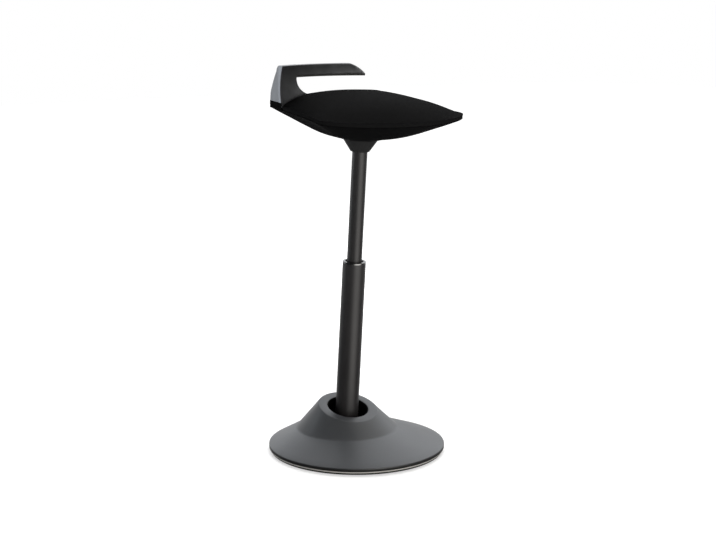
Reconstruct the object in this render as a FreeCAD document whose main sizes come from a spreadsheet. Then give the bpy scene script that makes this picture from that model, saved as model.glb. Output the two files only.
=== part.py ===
"""Perch stool: a leaning gas-sprung column in a weighted disc, with a boat-shaped seat.

Millimetres, +Z up. The origin is the centre of the disc on the floor, the sitter faces -Y,
and +X is the sitter's left. The column and everything above it are drawn in the column's
own frame, whose origin is where the column's axis meets the floor and whose Z is the axis.
"""
import FreeCAD, Part
import math
import os

import Sketcher
from FreeCAD import Placement, Rotation, Vector

doc = FreeCAD.newDocument("PerchStool")
sheet = doc.addObject("Spreadsheet::Sheet", "dims")

SIZES = [
    # Disc and collar
    ("disc_radius", 180.0),
    ("sole_inset", 4.0),
    ("sole_thickness", 4.1),
    ("trim_inset", 1.2),
    ("trim_height", 2.8),
    ("plate_inset", 14.0),
    ("plate_thickness", 6.0),
    ("rim_height", 6.7),
    ("cover_wall", 3.0),
    ("crease_radius", 104.6),
    ("crease_height", 37.4),
    ("crease_back", 35.7),
    ("crease_inset_share", 0.7),
    ("mouth_inset_share", 0.9),
    ("mouth_radius", 62.0),
    ("mouth_bore", 43.0),
    ("mouth_height", 79.6),
    ("mouth_back", 32.0),
    ("mouth_tilt", 15.7),
    ("liner_wall", 1.6),
    ("liner_depth", 26.0),
    ("boss_radius", 5.5),
    ("boss_height", 28.0),
    ("boss_front_inset", 72.7),
    ("boss_front_angle", -26.6),
    ("boss_rear_inset", 32.5),
    ("boss_rear_angle", 49.4),
    ("cover_screw_radius", 2.0),
    ("cover_screw_head", 4.0),
    ("cover_screw_length", 16.0),
    ("head_depth", 2.6),
    # Clearances
    ("fit_gap", 0.05),
    ("face_gap", 0.3),
    ("loose_gap", 0.5),
    ("tool_margin", 5.0),
    # Rocking joint
    ("lean", 5.02),
    ("column_back", 42.2),
    ("pivot_along", 33.5),
    ("ball_radius", 14.0),
    ("bush_thickness", 5.4),
    ("bush_opening", 42.0),
    ("neck_radius", 7.5),
    ("housing_radius", 36.0),
    ("ring_flange", 8.0),
    ("ring_neck_radius", 19.0),
    ("ring_height", 14.5),
    ("housing_bolt_circle", 57.0),
    ("housing_bolt_count", 4),
    ("housing_bolt_radius", 3.0),
    ("housing_bolt_head", 5.0),
    ("housing_bolt_head_height", 4.0),
    ("housing_bolt_bite", 4.5),
    # Column
    ("tube_radius", 23.65),
    ("tube_wall", 2.5),
    ("tube_foot", 58.5),
    ("tube_top", 391.9),
    ("tube_rim_height", 3.0),
    ("tube_rim_bore", 18.6),
    ("tube_rim_chamfer", 0.8),
    ("plug_flange", 2.5),
    ("plug_height", 15.5),
    ("stem_radius", 6.0),
    ("nut_height", 6.0),
    ("nut_flats", 19.0),
    ("bush_length", 60.0),
    ("bearing_plate_foot", 90.0),
    ("bearing_plate_thickness", 3.5),
    # Rod
    ("rod_radius", 5.0),
    ("rod_foot", 83.0),
    ("clip_radius", 9.0),
    ("clip_thickness", 3.0),
    ("bearing_radius", 13.0),
    ("bearing_height", 5.0),
    ("bearing_washer", 1.5),
    ("bearing_groove", 1.2),
    ("collar_radius", 10.0),
    ("collar_height", 3.0),
    ("rod_top", 362.0),
    ("piston_height", 10.0),
    ("seal_height", 3.0),
    ("seal_depth", 1.5),
    # Upper tube
    ("upper_radius", 15.2),
    ("upper_wall", 2.0),
    ("upper_foot", 300.0),
    ("upper_top", 656.0),
    ("guide_height", 14.0),
    ("valve_body_height", 22.0),
    ("valve_bore", 3.0),
    ("valve_pin_height", 10.0),
    ("valve_pin_depth", 16.0),
    # Seat: heights are along the column, above or below the rim plane
    ("rim_along", 702.0),
    ("hull_depth", 58.0),
    ("hull_bottom_scale", 0.235),
    ("hull_round_radius", 190.0),
    ("hull_wall", 3.0),
    ("pad_skirt", 7.5),
    ("pad_crown", 28.0),
    ("pad_fullness", 4.5),
    ("pad_rounding", 0.52),
    ("pad_round_radius", 140.0),
    ("pad_tuck", 0.985),
    ("front_reach", 181.0),
    ("front_turn_side", 84.0),
    ("front_turn_reach", 167.0),
    ("shoulder_out", 4.0),
    ("shoulder_forward", 5.5),
    ("tip_side", 160.0),
    ("tip_reach", 118.0),
    ("widest_side", 164.4),
    ("widest_reach", 102.0),
    ("hip_side", 162.9),
    ("hip_reach", 88.0),
    ("waist_side", 149.0),
    ("rear_side", 144.0),
    ("rear_reach", -108.5),
    ("rear_corner", 9.0),
    ("rear_bow", 6.0),
    ("board_inset", 0.92),
    ("ledge_inset", 0.86),
    ("board_thickness", 7.0),
    # Funnel and carrier
    ("funnel_foot", 617.0),
    ("funnel_top", 643.4),
    ("funnel_low_radius", 19.0),
    ("funnel_high_radius", 36.6),
    ("funnel_wall", 2.0),
    ("hub_radius", 21.0),
    ("hub_foot", 629.0),
    ("spider_foot", 658.7),
    ("spider_thickness", 4.0),
    ("post_radius", 8.0),
    ("front_post_side", 46.0),
    ("front_post_reach", 52.0),
    ("rear_post_side", 42.0),
    ("rear_post_reach", -34.0),
    ("spider_edge", 12.0),
    ("board_screw_radius", 2.5),
    ("board_screw_head", 4.5),
    ("shell_boss_radius", 6.0),
    ("front_boss_side", 104.0),
    ("front_boss_reach", 62.0),
    ("rear_boss_side", 84.0),
    ("rear_boss_reach", -58.0),
    ("screw_bite", 5.0),
    # Release
    ("release_bore", 38.5),
    ("release_radius", 60.0),
    ("release_gap", 1.0),
    ("release_rise", 5.0),
    ("release_thickness", 3.0),
    ("guide_circle", 48.0),
    ("guide_pin_radius", 2.5),
    ("guide_pin_head", 4.2),
    ("guide_boss_radius", 5.2),
    ("spring_radius", 4.4),
    ("spring_wire", 0.9),
    ("lever_width", 10.0),
    ("lever_thickness", 4.0),
    ("lever_lift", 1.5),
    ("lever_pivot", 23.0),
    ("lever_pin_radius", 2.0),
    ("lever_reach", 50.0),
    ("ear_thickness", 3.0),
    ("push_post_radius", 3.5),
    # Handle
    ("leg_outer", 142.0),
    ("leg_inner", 102.0),
    ("leg_front", -68.0),
    ("leg_rear", -117.0),
    ("leg_front_bow", 8.0),
    ("leg_front_bow_up", 42.0),
    ("leg_rear_bow", 10.0),
    ("leg_rear_bow_up", 33.0),
    ("leg_head", 10.0),
    ("leg_head_round", 12.0),
    ("leg_flare", 26.6),
    ("flare_foot_up", 20.2),
    ("flare_middle_up", 30.4),
    ("flare_middle_in", 9.7),
    ("flare_top_up", 50.0),
    ("leg_step", 2.0),
    ("plinth_sink", 0.5),
    ("band_top", 78.0),
    ("band_low", 53.0),
    ("band_thickness", 9.0),
    ("band_tip_side", 54.0),
    ("band_tip_round_side", 35.0),
    ("band_tip_middle_side", 21.4),
    ("band_tip_middle_drop", 5.5),
    ("band_left_reach", -70.0),
    ("band_middle_reach", -81.0),
    ("band_right_reach", -67.0),
    ("grip_height", 4.0),
    ("handle_screw_side", 124.0),
    ("handle_screw_front", -84.0),
    ("handle_screw_rear", -104.0),
    ("handle_screw_bite", 20.0),
]

for row, (alias, value) in enumerate(SIZES, start=1):
    sheet.set(f"A{row}", alias)
    sheet.set(f"B{row}", str(value))
    sheet.setAlias(f"B{row}", alias)
doc.recompute()


def size(alias):
    return float(sheet.get(alias))


# Drawing helpers

def bind(thing, **expressions):
    """Tie properties to the sheet; a double underscore stands for a dot."""
    for name, expression in expressions.items():
        thing.setExpression(name.replace("__", "."), expression)
    return thing


def new_body(label):
    body = doc.addObject("PartDesign::Body", label)
    body.Label = label
    return body


def new_sketch(body, name, role, offset=None):
    plane = [feature for feature in body.Origin.OriginFeatures if feature.Role == role][0]
    sketch = body.newObject("Sketcher::SketchObject", name)
    sketch.AttachmentSupport = (plane, [""])
    sketch.MapMode = "FlatFace"
    if offset:
        sketch.setExpression("AttachmentOffset.Base.z", offset)
    return sketch


def hold(sketch, geometry, point, across, up):
    """Fix one point of a sketch at two sheet expressions."""
    for kind, expression in (("DistanceX", across), ("DistanceY", up)):
        index = sketch.addConstraint(Sketcher.Constraint(kind, -1, 1, geometry, point, 1.0))
        sketch.setExpression(f"Constraints[{index}]", expression)


def polygon(sketch, corners):
    """A closed outline of straight sides through corners given as expressions."""
    count = len(corners)
    first = sketch.GeometryCount
    guess = [Vector(math.cos(2 * math.pi * k / count), math.sin(2 * math.pi * k / count), 0) * 10
             for k in range(count)]
    sketch.addGeometry([Part.LineSegment(guess[k], guess[(k + 1) % count]) for k in range(count)],
                       False)
    joins = [Sketcher.Constraint("Coincident", first + k, 2, first + (k + 1) % count, 1)
             for k in range(count)]
    sketch.addConstraint(joins)
    places = []
    for k in range(count):
        places.append(Sketcher.Constraint("DistanceX", -1, 1, first + k, 1, guess[k].x))
        places.append(Sketcher.Constraint("DistanceY", -1, 1, first + k, 1, guess[k].y))
    start = sketch.ConstraintCount
    sketch.addConstraint(places)
    for k, (across, up) in enumerate(corners):
        sketch.setExpression(f"Constraints[{start + 2 * k}]", across)
        sketch.setExpression(f"Constraints[{start + 2 * k + 1}]", up)


def circle(sketch, across, up, radius):
    index = sketch.addGeometry(Part.Circle(Vector(0, 0, 0), Vector(0, 0, 1), 1.0), False)
    hold(sketch, index, 3, across, up)
    rule = sketch.addConstraint(Sketcher.Constraint("Radius", index, 1.0))
    sketch.setExpression(f"Constraints[{rule}]", radius)


def on_column(thing):
    """Stand a piece drawn in the column's frame on the leaning axis."""
    thing.Placement = Placement(Vector(0, size("column_back"), 0),
                                Rotation(Vector(1, 0, 0), size("lean")))
    return bind(thing, Placement__Base__y="dims.column_back", Placement__Rotation__Angle="dims.lean")


def turned(label, corners):
    """A solid of revolution; corners are (radius, height) expressions."""
    body = new_body(label)
    sketch = new_sketch(body, f"{label}_profile", "XZ_Plane")
    polygon(sketch, corners)
    turn = body.newObject("PartDesign::Revolution", f"{label}_turn")
    turn.Profile = sketch
    turn.ReferenceAxis = (sketch, ["V_Axis"])
    turn.Angle = 360
    return body


def sleeve(label, bore, radius, low, high):
    return turned(label, [(bore, low), (radius, low), (radius, high), (bore, high)])


def disc(label, radius, low, high):
    return sleeve(label, "0", radius, low, high)


def drill(body, name, centres, radius):
    """Round holes right through, along the body's Z."""
    sketch = new_sketch(body, name, "XY_Plane")
    for across, up in centres:
        circle(sketch, across, up, radius)
    pocket = body.newObject("PartDesign::Pocket", f"{name}_cut")
    pocket.Profile = sketch
    pocket.Type = "ThroughAll"
    pocket.SideType = "Symmetric"
    return pocket


def counterbore(body, name, centres, radius, low, depth):
    """Round recesses from the height low upwards."""
    sketch = new_sketch(body, name, "XY_Plane", low)
    for across, up in centres:
        circle(sketch, across, up, radius)
    pocket = body.newObject("PartDesign::Pocket", f"{name}_cut")
    pocket.Profile = sketch
    pocket.Reversed = True
    return bind(pocket, Length=depth)


def cylinder(name, radius, height, low="0", across="0", back="0"):
    tool = doc.addObject("Part::Cylinder", name)
    return bind(tool, Radius=radius, Height=height, Placement__Base__x=across,
                Placement__Base__y=back, Placement__Base__z=low)


def sphere(name, radius, back, height):
    ball = doc.addObject("Part::Sphere", name)
    return bind(ball, Radius=radius, Placement__Base__y=back, Placement__Base__z=height)


def cut(name, base, tool):
    result = doc.addObject("Part::Cut", name)
    result.Base = base
    result.Tool = tool
    return result


def join(name, *pieces):
    result = doc.addObject("Part::MultiFuse", name)
    result.Shapes = list(pieces)
    return result


def overlap(name, *pieces):
    result = doc.addObject("Part::MultiCommon", name)
    result.Shapes = list(pieces)
    return result


def shape_piece(label, shape, placement=Placement()):
    piece = doc.addObject("Part::Feature", label)
    piece.Shape = shape
    piece.Placement = placement
    return piece


def screw(radius, length, head_radius, head_height, socket=0.55):
    """A cap screw on Z: its head hangs below the origin and its shank points up."""
    head = Part.makeCylinder(head_radius, head_height, Vector(0, 0, -head_height))
    shank = Part.makeCylinder(radius, length)
    corner = head_radius * socket
    corners = [Vector(corner * math.cos(math.radians(60 * k)), corner * math.sin(math.radians(60 * k)),
                      -head_height) for k in range(6)]
    recess = Part.Face(Part.makePolygon(corners + corners[:1])).extrude(Vector(0, 0, head_height * 0.6))
    return head.fuse(shank).cut(recess).removeSplitter()


def group(label, shape, places, placement=Placement()):
    """Copies of one fastener as separate solids in one piece."""
    copies = []
    for place in places:
        copy = shape.copy()
        copy.Placement = place
        copies.append(copy)
    return shape_piece(label, Part.makeCompound(copies), placement)


COLUMN = Placement(Vector(0, size("column_back"), 0), Rotation(Vector(1, 0, 0), size("lean")))

# Levels in the base
TRIM_LOW = "dims.sole_thickness"
COVER_LOW = "dims.sole_thickness + dims.trim_height"
RIM_TOP = f"{COVER_LOW} + dims.rim_height"
PLATE_TOP = "dims.sole_thickness + dims.plate_thickness"
PIVOT_BACK = "dims.column_back - dims.pivot_along * sin(dims.lean)"
PIVOT_HEIGHT = "dims.pivot_along * cos(dims.lean)"

cover_low = size("sole_thickness") + size("trim_height")
plate_top = size("sole_thickness") + size("plate_thickness")
pivot_back = size("column_back") - size("pivot_along") * math.sin(math.radians(size("lean")))
pivot_height = size("pivot_along") * math.cos(math.radians(size("lean")))


# Base: sole, trim ring and ballast plate

PLATE_RADIUS = "dims.disc_radius - dims.plate_inset"
sole = disc("anti_slip_sole", "dims.disc_radius - dims.sole_inset", "0", "dims.sole_thickness")
edge_ring = sleeve("edge_ring", f"{PLATE_RADIUS} + dims.loose_gap",
                   "dims.disc_radius - dims.trim_inset", TRIM_LOW, COVER_LOW)

boss_places = [
    (f"{side}(dims.disc_radius - dims.boss_{end}_inset) * cos(dims.boss_{end}_angle)",
     f"(dims.disc_radius - dims.boss_{end}_inset) * sin(dims.boss_{end}_angle)")
    for end in ("front", "rear") for side in ("", "-")]
plate = disc("base_plate", PLATE_RADIUS, TRIM_LOW, PLATE_TOP)
drill(plate, "cover_screw_holes", boss_places, "dims.cover_screw_radius + dims.fit_gap")
counterbore(plate, "cover_screw_heads", boss_places, "dims.cover_screw_head + dims.loose_gap",
            TRIM_LOW, "dims.head_depth")


def bolt_places(circle_size, count):
    """Bolt centres on a circle about the pivot, as sheet expressions."""
    places = []
    for k in range(count):
        angle = 45 + 360 * k / count
        places.append((f"dims.{circle_size} / 2 * cos({angle})",
                       f"{PIVOT_BACK} + dims.{circle_size} / 2 * sin({angle})"))
    return places


housing_bolt_centres = bolt_places("housing_bolt_circle", int(size("housing_bolt_count")))
bolt_holes = new_sketch(plate, "housing_bolt_holes", "XY_Plane",
                        f"{PLATE_TOP} - dims.housing_bolt_bite")
for across, up in housing_bolt_centres:
    circle(bolt_holes, across, up, "dims.housing_bolt_radius + dims.fit_gap")
bolt_cut = plate.newObject("PartDesign::Pocket", "housing_bolt_cut")
bolt_cut.Profile = bolt_holes
bolt_cut.Reversed = True
bind(bolt_cut, Length="dims.housing_bolt_bite")


# Base cover: a disc with an oblique cone, and a collar whose mouth tilts forward

def level_circle(name, radius, back, height, tilt=None):
    ring = doc.addObject("Part::Circle", name)
    if tilt:
        ring.Placement = Placement(Vector(0, 0, 0), Rotation(Vector(1, 0, 0), size("mouth_tilt")))
        bind(ring, Placement__Rotation__Angle=tilt)
    return bind(ring, Radius=radius, Placement__Base__y=back, Placement__Base__z=height)


def ruled(name, low, high):
    loft = doc.addObject("Part::Loft", name)
    loft.Sections = [low, high]
    loft.Solid = True
    loft.Ruled = True
    return loft


def cover_form(name, inset, sink):
    """The cover's outer form, or its hollow when it is inset and sunk by the wall."""
    radius = f"dims.disc_radius - {inset}"
    rim = cylinder(f"{name}_rim", radius, f"dims.rim_height - {sink}", COVER_LOW)
    low = level_circle(f"{name}_low", radius, "0", f"{RIM_TOP} - {sink}")
    middle = level_circle(f"{name}_crease",
                          f"dims.crease_radius - {inset} * dims.crease_inset_share",
                          "dims.crease_back", f"dims.crease_height - {sink}")
    high = level_circle(f"{name}_mouth", f"dims.mouth_radius - {inset} * dims.mouth_inset_share",
                        f"dims.mouth_back + {sink} * sin(dims.mouth_tilt)",
                        f"dims.mouth_height - {sink} * cos(dims.mouth_tilt)", "dims.mouth_tilt")
    return join(f"{name}_form", rim, ruled(f"{name}_dish", low, middle),
                ruled(f"{name}_collar", middle, high))


def mouth_cylinder(name, radius, height, start):
    """A cylinder square to the mouth's plane, from start along its normal."""
    tool = doc.addObject("Part::Cylinder", name)
    tool.Placement = Placement(Vector(0, 0, 0), Rotation(Vector(1, 0, 0), size("mouth_tilt")))
    return bind(tool, Radius=radius, Height=height, Placement__Rotation__Angle="dims.mouth_tilt",
                Placement__Base__y=f"dims.mouth_back - ({start}) * sin(dims.mouth_tilt)",
                Placement__Base__z=f"dims.mouth_height + ({start}) * cos(dims.mouth_tilt)")


cover_outer = cover_form("cover_outer", "0", "0")
cover_inner = cover_form("cover_inner", "dims.cover_wall", "dims.cover_wall")
cover_open = mouth_cylinder("cover_mouth", "dims.mouth_bore", "dims.mouth_radius",
                            "-dims.mouth_radius / 2")
cover_shell = cut("cover_shell", cut("cover_hollow", cover_outer, cover_inner), cover_open)
boss_posts = []
boss_bores = []
for index, (across, back) in enumerate(boss_places):
    boss_posts.append(cylinder(f"boss_post_{index}", "dims.boss_radius", "dims.boss_height",
                               PLATE_TOP, across, back))
    boss_bores.append(cylinder(f"boss_bore_{index}", "dims.cover_screw_radius + dims.fit_gap",
                               "dims.sole_thickness + dims.cover_screw_length + dims.loose_gap",
                               "0", across, back))
cover_middle = cover_form("cover_middle", "dims.cover_wall / 2", "dims.cover_wall / 2")
cover_bosses = overlap("cover_bosses", cover_middle, join("boss_posts", *boss_posts))
base_cover = cut("base_cover", join("cover_with_bosses", cover_shell, cover_bosses),
                 join("boss_bores", *boss_bores))

liner_tube = mouth_cylinder("liner_tube", "dims.mouth_bore - dims.fit_gap", "dims.liner_depth",
                            "-dims.liner_depth - dims.liner_wall / 2")
liner_bore = mouth_cylinder("liner_bore", "dims.mouth_bore - dims.liner_wall",
                            "dims.liner_depth * 2", "-dims.liner_depth * 1.5")
collar_liner = cut("collar_liner", liner_tube, liner_bore)

cover_screws = group(
    "cover_screws",
    screw(size("cover_screw_radius"), size("cover_screw_length") - size("head_depth"),
          size("cover_screw_head"), size("head_depth")),
    [Placement(Vector(
        side * (size("disc_radius") - size(f"boss_{end}_inset"))
        * math.cos(math.radians(size(f"boss_{end}_angle"))),
        (size("disc_radius") - size(f"boss_{end}_inset"))
        * math.sin(math.radians(size(f"boss_{end}_angle"))),
        size("sole_thickness") + size("head_depth")), Rotation())
     for end in ("front", "rear") for side in (1, -1)])


# Rocking joint: a cup and ring that hold a spherical bush, which holds the ball

BUSH_OUTER = "dims.ball_radius + dims.face_gap + dims.bush_thickness"
SEAT_RADIUS = f"{BUSH_OUTER} + dims.face_gap"
seat_ball = sphere("seat_ball", SEAT_RADIUS, PIVOT_BACK, PIVOT_HEIGHT)
bolt_clear = join("bolt_clear", *[
    cylinder(f"bolt_clear_{k}", "dims.housing_bolt_radius + dims.fit_gap", PIVOT_HEIGHT + " * 2",
             "0", across, back)
    for k, (across, back) in enumerate(housing_bolt_centres)])
cup_blank = cylinder("cup_blank", "dims.housing_radius", f"{PIVOT_HEIGHT} - ({PLATE_TOP})",
                     PLATE_TOP, "0", PIVOT_BACK)
joint_housing = cut("joint_housing", cut("cup_seat", cup_blank, seat_ball), bolt_clear)
ring_plate = cylinder("ring_plate", "dims.housing_radius", "dims.ring_flange", PIVOT_HEIGHT, "0",
                      PIVOT_BACK)
ring_neck = cylinder("ring_neck", "dims.ring_neck_radius", "dims.ring_height", PIVOT_HEIGHT, "0",
                     PIVOT_BACK)
ring_blank = join("ring_blank", ring_plate, ring_neck)
retaining_ring = cut("retaining_ring", cut("ring_seat", ring_blank, seat_ball), bolt_clear)

bolt_length = pivot_height + size("ring_flange") - plate_top + size("housing_bolt_bite")
bolt_turn = Rotation(Vector(1, 0, 0), 180)
housing_bolts = group(
    "housing_bolts",
    screw(size("housing_bolt_radius"), bolt_length - size("face_gap"), size("housing_bolt_head"),
          size("housing_bolt_head_height")),
    [Placement(Vector(size("housing_bolt_circle") / 2 * math.cos(math.radians(45 + 360 * k / count)),
                      pivot_back + size("housing_bolt_circle") / 2
                      * math.sin(math.radians(45 + 360 * k / count)),
                      pivot_height + size("ring_flange")), bolt_turn)
     for count in (int(size("housing_bolt_count")),) for k in range(count)])

bush_outer = sphere("bush_outer", BUSH_OUTER, "0", "dims.pivot_along")
bush_inner = sphere("bush_inner", "dims.ball_radius + dims.face_gap", "0", "dims.pivot_along")
bush_mouth = doc.addObject("Part::Cone", "bush_mouth")
bind(bush_mouth, Radius1="0", Radius2="dims.housing_radius * tan(dims.bush_opening)",
     Height="dims.housing_radius", Placement__Base__z="dims.pivot_along")
flex_bush = on_column(cut("flex_bush", cut("bush_shell", bush_outer, bush_inner), bush_mouth))

ball = sphere("ball", "dims.ball_radius", "0", "dims.pivot_along")
PLUG_LOW = "dims.tube_foot - dims.plug_flange"
neck = cylinder("neck", "dims.neck_radius", f"{PLUG_LOW} - dims.pivot_along", "dims.pivot_along")
STEM_TOP = "dims.tube_foot + dims.plug_height + dims.nut_height"
stem = cylinder("stem", "dims.stem_radius", f"{STEM_TOP} - dims.pivot_along", "dims.pivot_along")
ball_foot = on_column(join("ball_foot", ball, neck, stem))


# Column: plug, tube, end rim, bush and the plate that carries the rod

TUBE_BORE = "dims.tube_radius - dims.tube_wall"
tube_plug = on_column(turned("tube_plug", [
    ("dims.stem_radius + dims.fit_gap", PLUG_LOW),
    ("dims.tube_radius - dims.plug_flange", PLUG_LOW),
    ("dims.tube_radius", "dims.tube_foot"),
    (f"{TUBE_BORE} - dims.fit_gap", "dims.tube_foot"),
    (f"{TUBE_BORE} - dims.fit_gap", "dims.tube_foot + dims.plug_height"),
    ("dims.stem_radius + dims.fit_gap", "dims.tube_foot + dims.plug_height")]))

nut = new_body("stem_nut")
nut_sketch = new_sketch(nut, "nut_hexagon", "XY_Plane", "dims.tube_foot + dims.plug_height")
polygon(nut_sketch, [(f"dims.nut_flats / 2 / cos(30) * cos({60 * k})",
                      f"dims.nut_flats / 2 / cos(30) * sin({60 * k})") for k in range(6)])
circle(nut_sketch, "0", "0", "dims.stem_radius + dims.fit_gap")
nut_pad = nut.newObject("PartDesign::Pad", "nut_pad")
nut_pad.Profile = nut_sketch
bind(nut_pad, Length="dims.nut_height")
on_column(nut)

TUBE_SHOULDER = "dims.tube_top - dims.tube_rim_height"
lower_tube = on_column(sleeve("lower_tube", TUBE_BORE, "dims.tube_radius", "dims.tube_foot",
                              TUBE_SHOULDER))
tube_rim = on_column(turned("tube_rim", [
    ("dims.tube_rim_bore", TUBE_SHOULDER),
    ("dims.tube_radius", TUBE_SHOULDER),
    ("dims.tube_radius", "dims.tube_top - dims.tube_rim_chamfer"),
    ("dims.tube_radius - dims.tube_rim_chamfer", "dims.tube_top"),
    ("dims.tube_rim_bore", "dims.tube_top")]))
guide_bush = on_column(sleeve("guide_bush", "dims.upper_radius + dims.fit_gap",
                              f"{TUBE_BORE} - dims.fit_gap", f"{TUBE_SHOULDER} - dims.bush_length",
                              TUBE_SHOULDER))
PLATE_ABOVE = "dims.bearing_plate_foot + dims.bearing_plate_thickness"
bearing_plate = on_column(sleeve("bearing_plate", "dims.rod_radius + dims.fit_gap",
                                 f"{TUBE_BORE} - dims.fit_gap", "dims.bearing_plate_foot",
                                 PLATE_ABOVE))

# Rod: it turns on the bearing and carries the piston

BEARING_LOW = f"{PLATE_ABOVE} + dims.face_gap"
COLLAR_LOW = f"{BEARING_LOW} + dims.bearing_height"
thrust_bearing = on_column(turned("thrust_bearing", [
    ("dims.rod_radius + dims.fit_gap", BEARING_LOW),
    ("dims.bearing_radius", BEARING_LOW),
    ("dims.bearing_radius", f"{BEARING_LOW} + dims.bearing_washer"),
    ("dims.bearing_radius - dims.bearing_groove", f"{BEARING_LOW} + dims.bearing_washer"),
    ("dims.bearing_radius - dims.bearing_groove", f"{COLLAR_LOW} - dims.bearing_washer"),
    ("dims.bearing_radius", f"{COLLAR_LOW} - dims.bearing_washer"),
    ("dims.bearing_radius", COLLAR_LOW),
    ("dims.rod_radius + dims.fit_gap", COLLAR_LOW)]))
piston_rod = on_column(turned("piston_rod", [
    ("0", "dims.rod_foot"),
    ("dims.rod_radius", "dims.rod_foot"),
    ("dims.rod_radius", COLLAR_LOW),
    ("dims.collar_radius", COLLAR_LOW),
    ("dims.collar_radius", f"{COLLAR_LOW} + dims.collar_height"),
    ("dims.rod_radius", f"{COLLAR_LOW} + dims.collar_height"),
    ("dims.rod_radius", "dims.rod_top"),
    ("0", "dims.rod_top")]))
CLIP_TOP = "dims.bearing_plate_foot - dims.face_gap"
rod_clip = on_column(sleeve("rod_clip", "dims.rod_radius + dims.fit_gap", "dims.clip_radius",
                            f"{CLIP_TOP} - dims.clip_thickness", CLIP_TOP))
UPPER_BORE = "dims.upper_radius - dims.upper_wall"
PISTON_RADIUS = f"{UPPER_BORE} - dims.fit_gap"
PISTON_LOW = "dims.rod_top - dims.piston_height"
PISTON_MIDDLE = "dims.rod_top - dims.piston_height / 2"
piston = on_column(turned("piston", [
    ("dims.rod_radius + dims.fit_gap", PISTON_LOW),
    (PISTON_RADIUS, PISTON_LOW),
    (PISTON_RADIUS, f"{PISTON_MIDDLE} - dims.seal_height / 2"),
    (f"{PISTON_RADIUS} - dims.seal_depth", f"{PISTON_MIDDLE} - dims.seal_height / 2"),
    (f"{PISTON_RADIUS} - dims.seal_depth", f"{PISTON_MIDDLE} + dims.seal_height / 2"),
    (PISTON_RADIUS, f"{PISTON_MIDDLE} + dims.seal_height / 2"),
    (PISTON_RADIUS, "dims.rod_top"),
    ("dims.rod_radius + dims.fit_gap", "dims.rod_top")]))
piston_seal = on_column(sleeve("piston_seal", f"{PISTON_RADIUS} - dims.seal_depth + dims.fit_gap",
                               PISTON_RADIUS,
                               f"{PISTON_MIDDLE} - dims.seal_height / 2 + dims.fit_gap",
                               f"{PISTON_MIDDLE} + dims.seal_height / 2 - dims.fit_gap"))

# Upper tube: it slides on the rod and carries the seat

upper_tube = on_column(sleeve("upper_tube", UPPER_BORE, "dims.upper_radius", "dims.upper_foot",
                              "dims.upper_top"))
rod_guide = on_column(sleeve("rod_guide", "dims.rod_radius + dims.fit_gap",
                             f"{UPPER_BORE} - dims.fit_gap", "dims.upper_foot",
                             "dims.upper_foot + dims.guide_height"))
valve_body = on_column(sleeve("valve_body", "dims.valve_bore + dims.fit_gap",
                              f"{UPPER_BORE} - dims.fit_gap",
                              "dims.upper_top - dims.valve_body_height", "dims.upper_top"))
valve_pin = on_column(disc("valve_pin", "dims.valve_bore", "dims.upper_top - dims.valve_pin_depth",
                           "dims.upper_top + dims.valve_pin_height"))

funnel_cover = on_column(turned("funnel_cover", [
    ("dims.upper_radius + dims.loose_gap", "dims.funnel_foot"),
    ("dims.funnel_low_radius", "dims.funnel_foot"),
    ("dims.funnel_high_radius", "dims.funnel_top"),
    ("dims.hub_radius + dims.fit_gap", "dims.funnel_top"),
    ("dims.hub_radius + dims.fit_gap", "dims.funnel_top - dims.funnel_wall"),
    ("dims.funnel_high_radius - dims.funnel_wall * 2", "dims.funnel_top - dims.funnel_wall"),
    ("dims.funnel_low_radius - dims.funnel_wall / 2", "dims.funnel_foot + dims.funnel_wall"),
    ("dims.upper_radius + dims.loose_gap", "dims.funnel_foot + dims.funnel_wall")]))


# Seat carrier: hub, spider plate, four posts and two ears for the lever

post_places = [("dims.front_post_side", "-dims.front_post_reach"),
               ("-dims.front_post_side", "-dims.front_post_reach"),
               ("-dims.rear_post_side", "-dims.rear_post_reach"),
               ("dims.rear_post_side", "-dims.rear_post_reach")]
BOARD_LOW = "dims.rim_along - dims.pad_skirt"
SPIDER_TOP = "dims.spider_foot + dims.spider_thickness"

carrier = new_body("seat_carrier")
hub_sketch = new_sketch(carrier, "hub_circle", "XY_Plane", "dims.hub_foot")
circle(hub_sketch, "0", "0", "dims.hub_radius")
hub_pad = carrier.newObject("PartDesign::Pad", "hub_pad")
hub_pad.Profile = hub_sketch
bind(hub_pad, Length=f"{SPIDER_TOP} - dims.hub_foot")
spider_sketch = new_sketch(carrier, "spider_outline", "XY_Plane", "dims.spider_foot")
polygon(spider_sketch, [
    ("-dims.front_post_side - dims.spider_edge", "-dims.front_post_reach - dims.spider_edge"),
    ("dims.front_post_side + dims.spider_edge", "-dims.front_post_reach - dims.spider_edge"),
    ("dims.front_post_side + dims.spider_edge", "-dims.front_post_reach + dims.spider_edge"),
    ("dims.rear_post_side + dims.spider_edge", "-dims.rear_post_reach + dims.spider_edge"),
    ("-dims.rear_post_side - dims.spider_edge", "-dims.rear_post_reach + dims.spider_edge"),
    ("-dims.front_post_side - dims.spider_edge", "-dims.front_post_reach + dims.spider_edge")])
spider_pad = carrier.newObject("PartDesign::Pad", "spider_pad")
spider_pad.Profile = spider_sketch
bind(spider_pad, Length="dims.spider_thickness")
post_sketch = new_sketch(carrier, "post_circles", "XY_Plane", "dims.spider_foot")
for across, up in post_places:
    circle(post_sketch, across, up, "dims.post_radius")
post_pad = carrier.newObject("PartDesign::Pad", "post_pad")
post_pad.Profile = post_sketch
bind(post_pad, Length=f"{BOARD_LOW} - dims.spider_foot")

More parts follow.
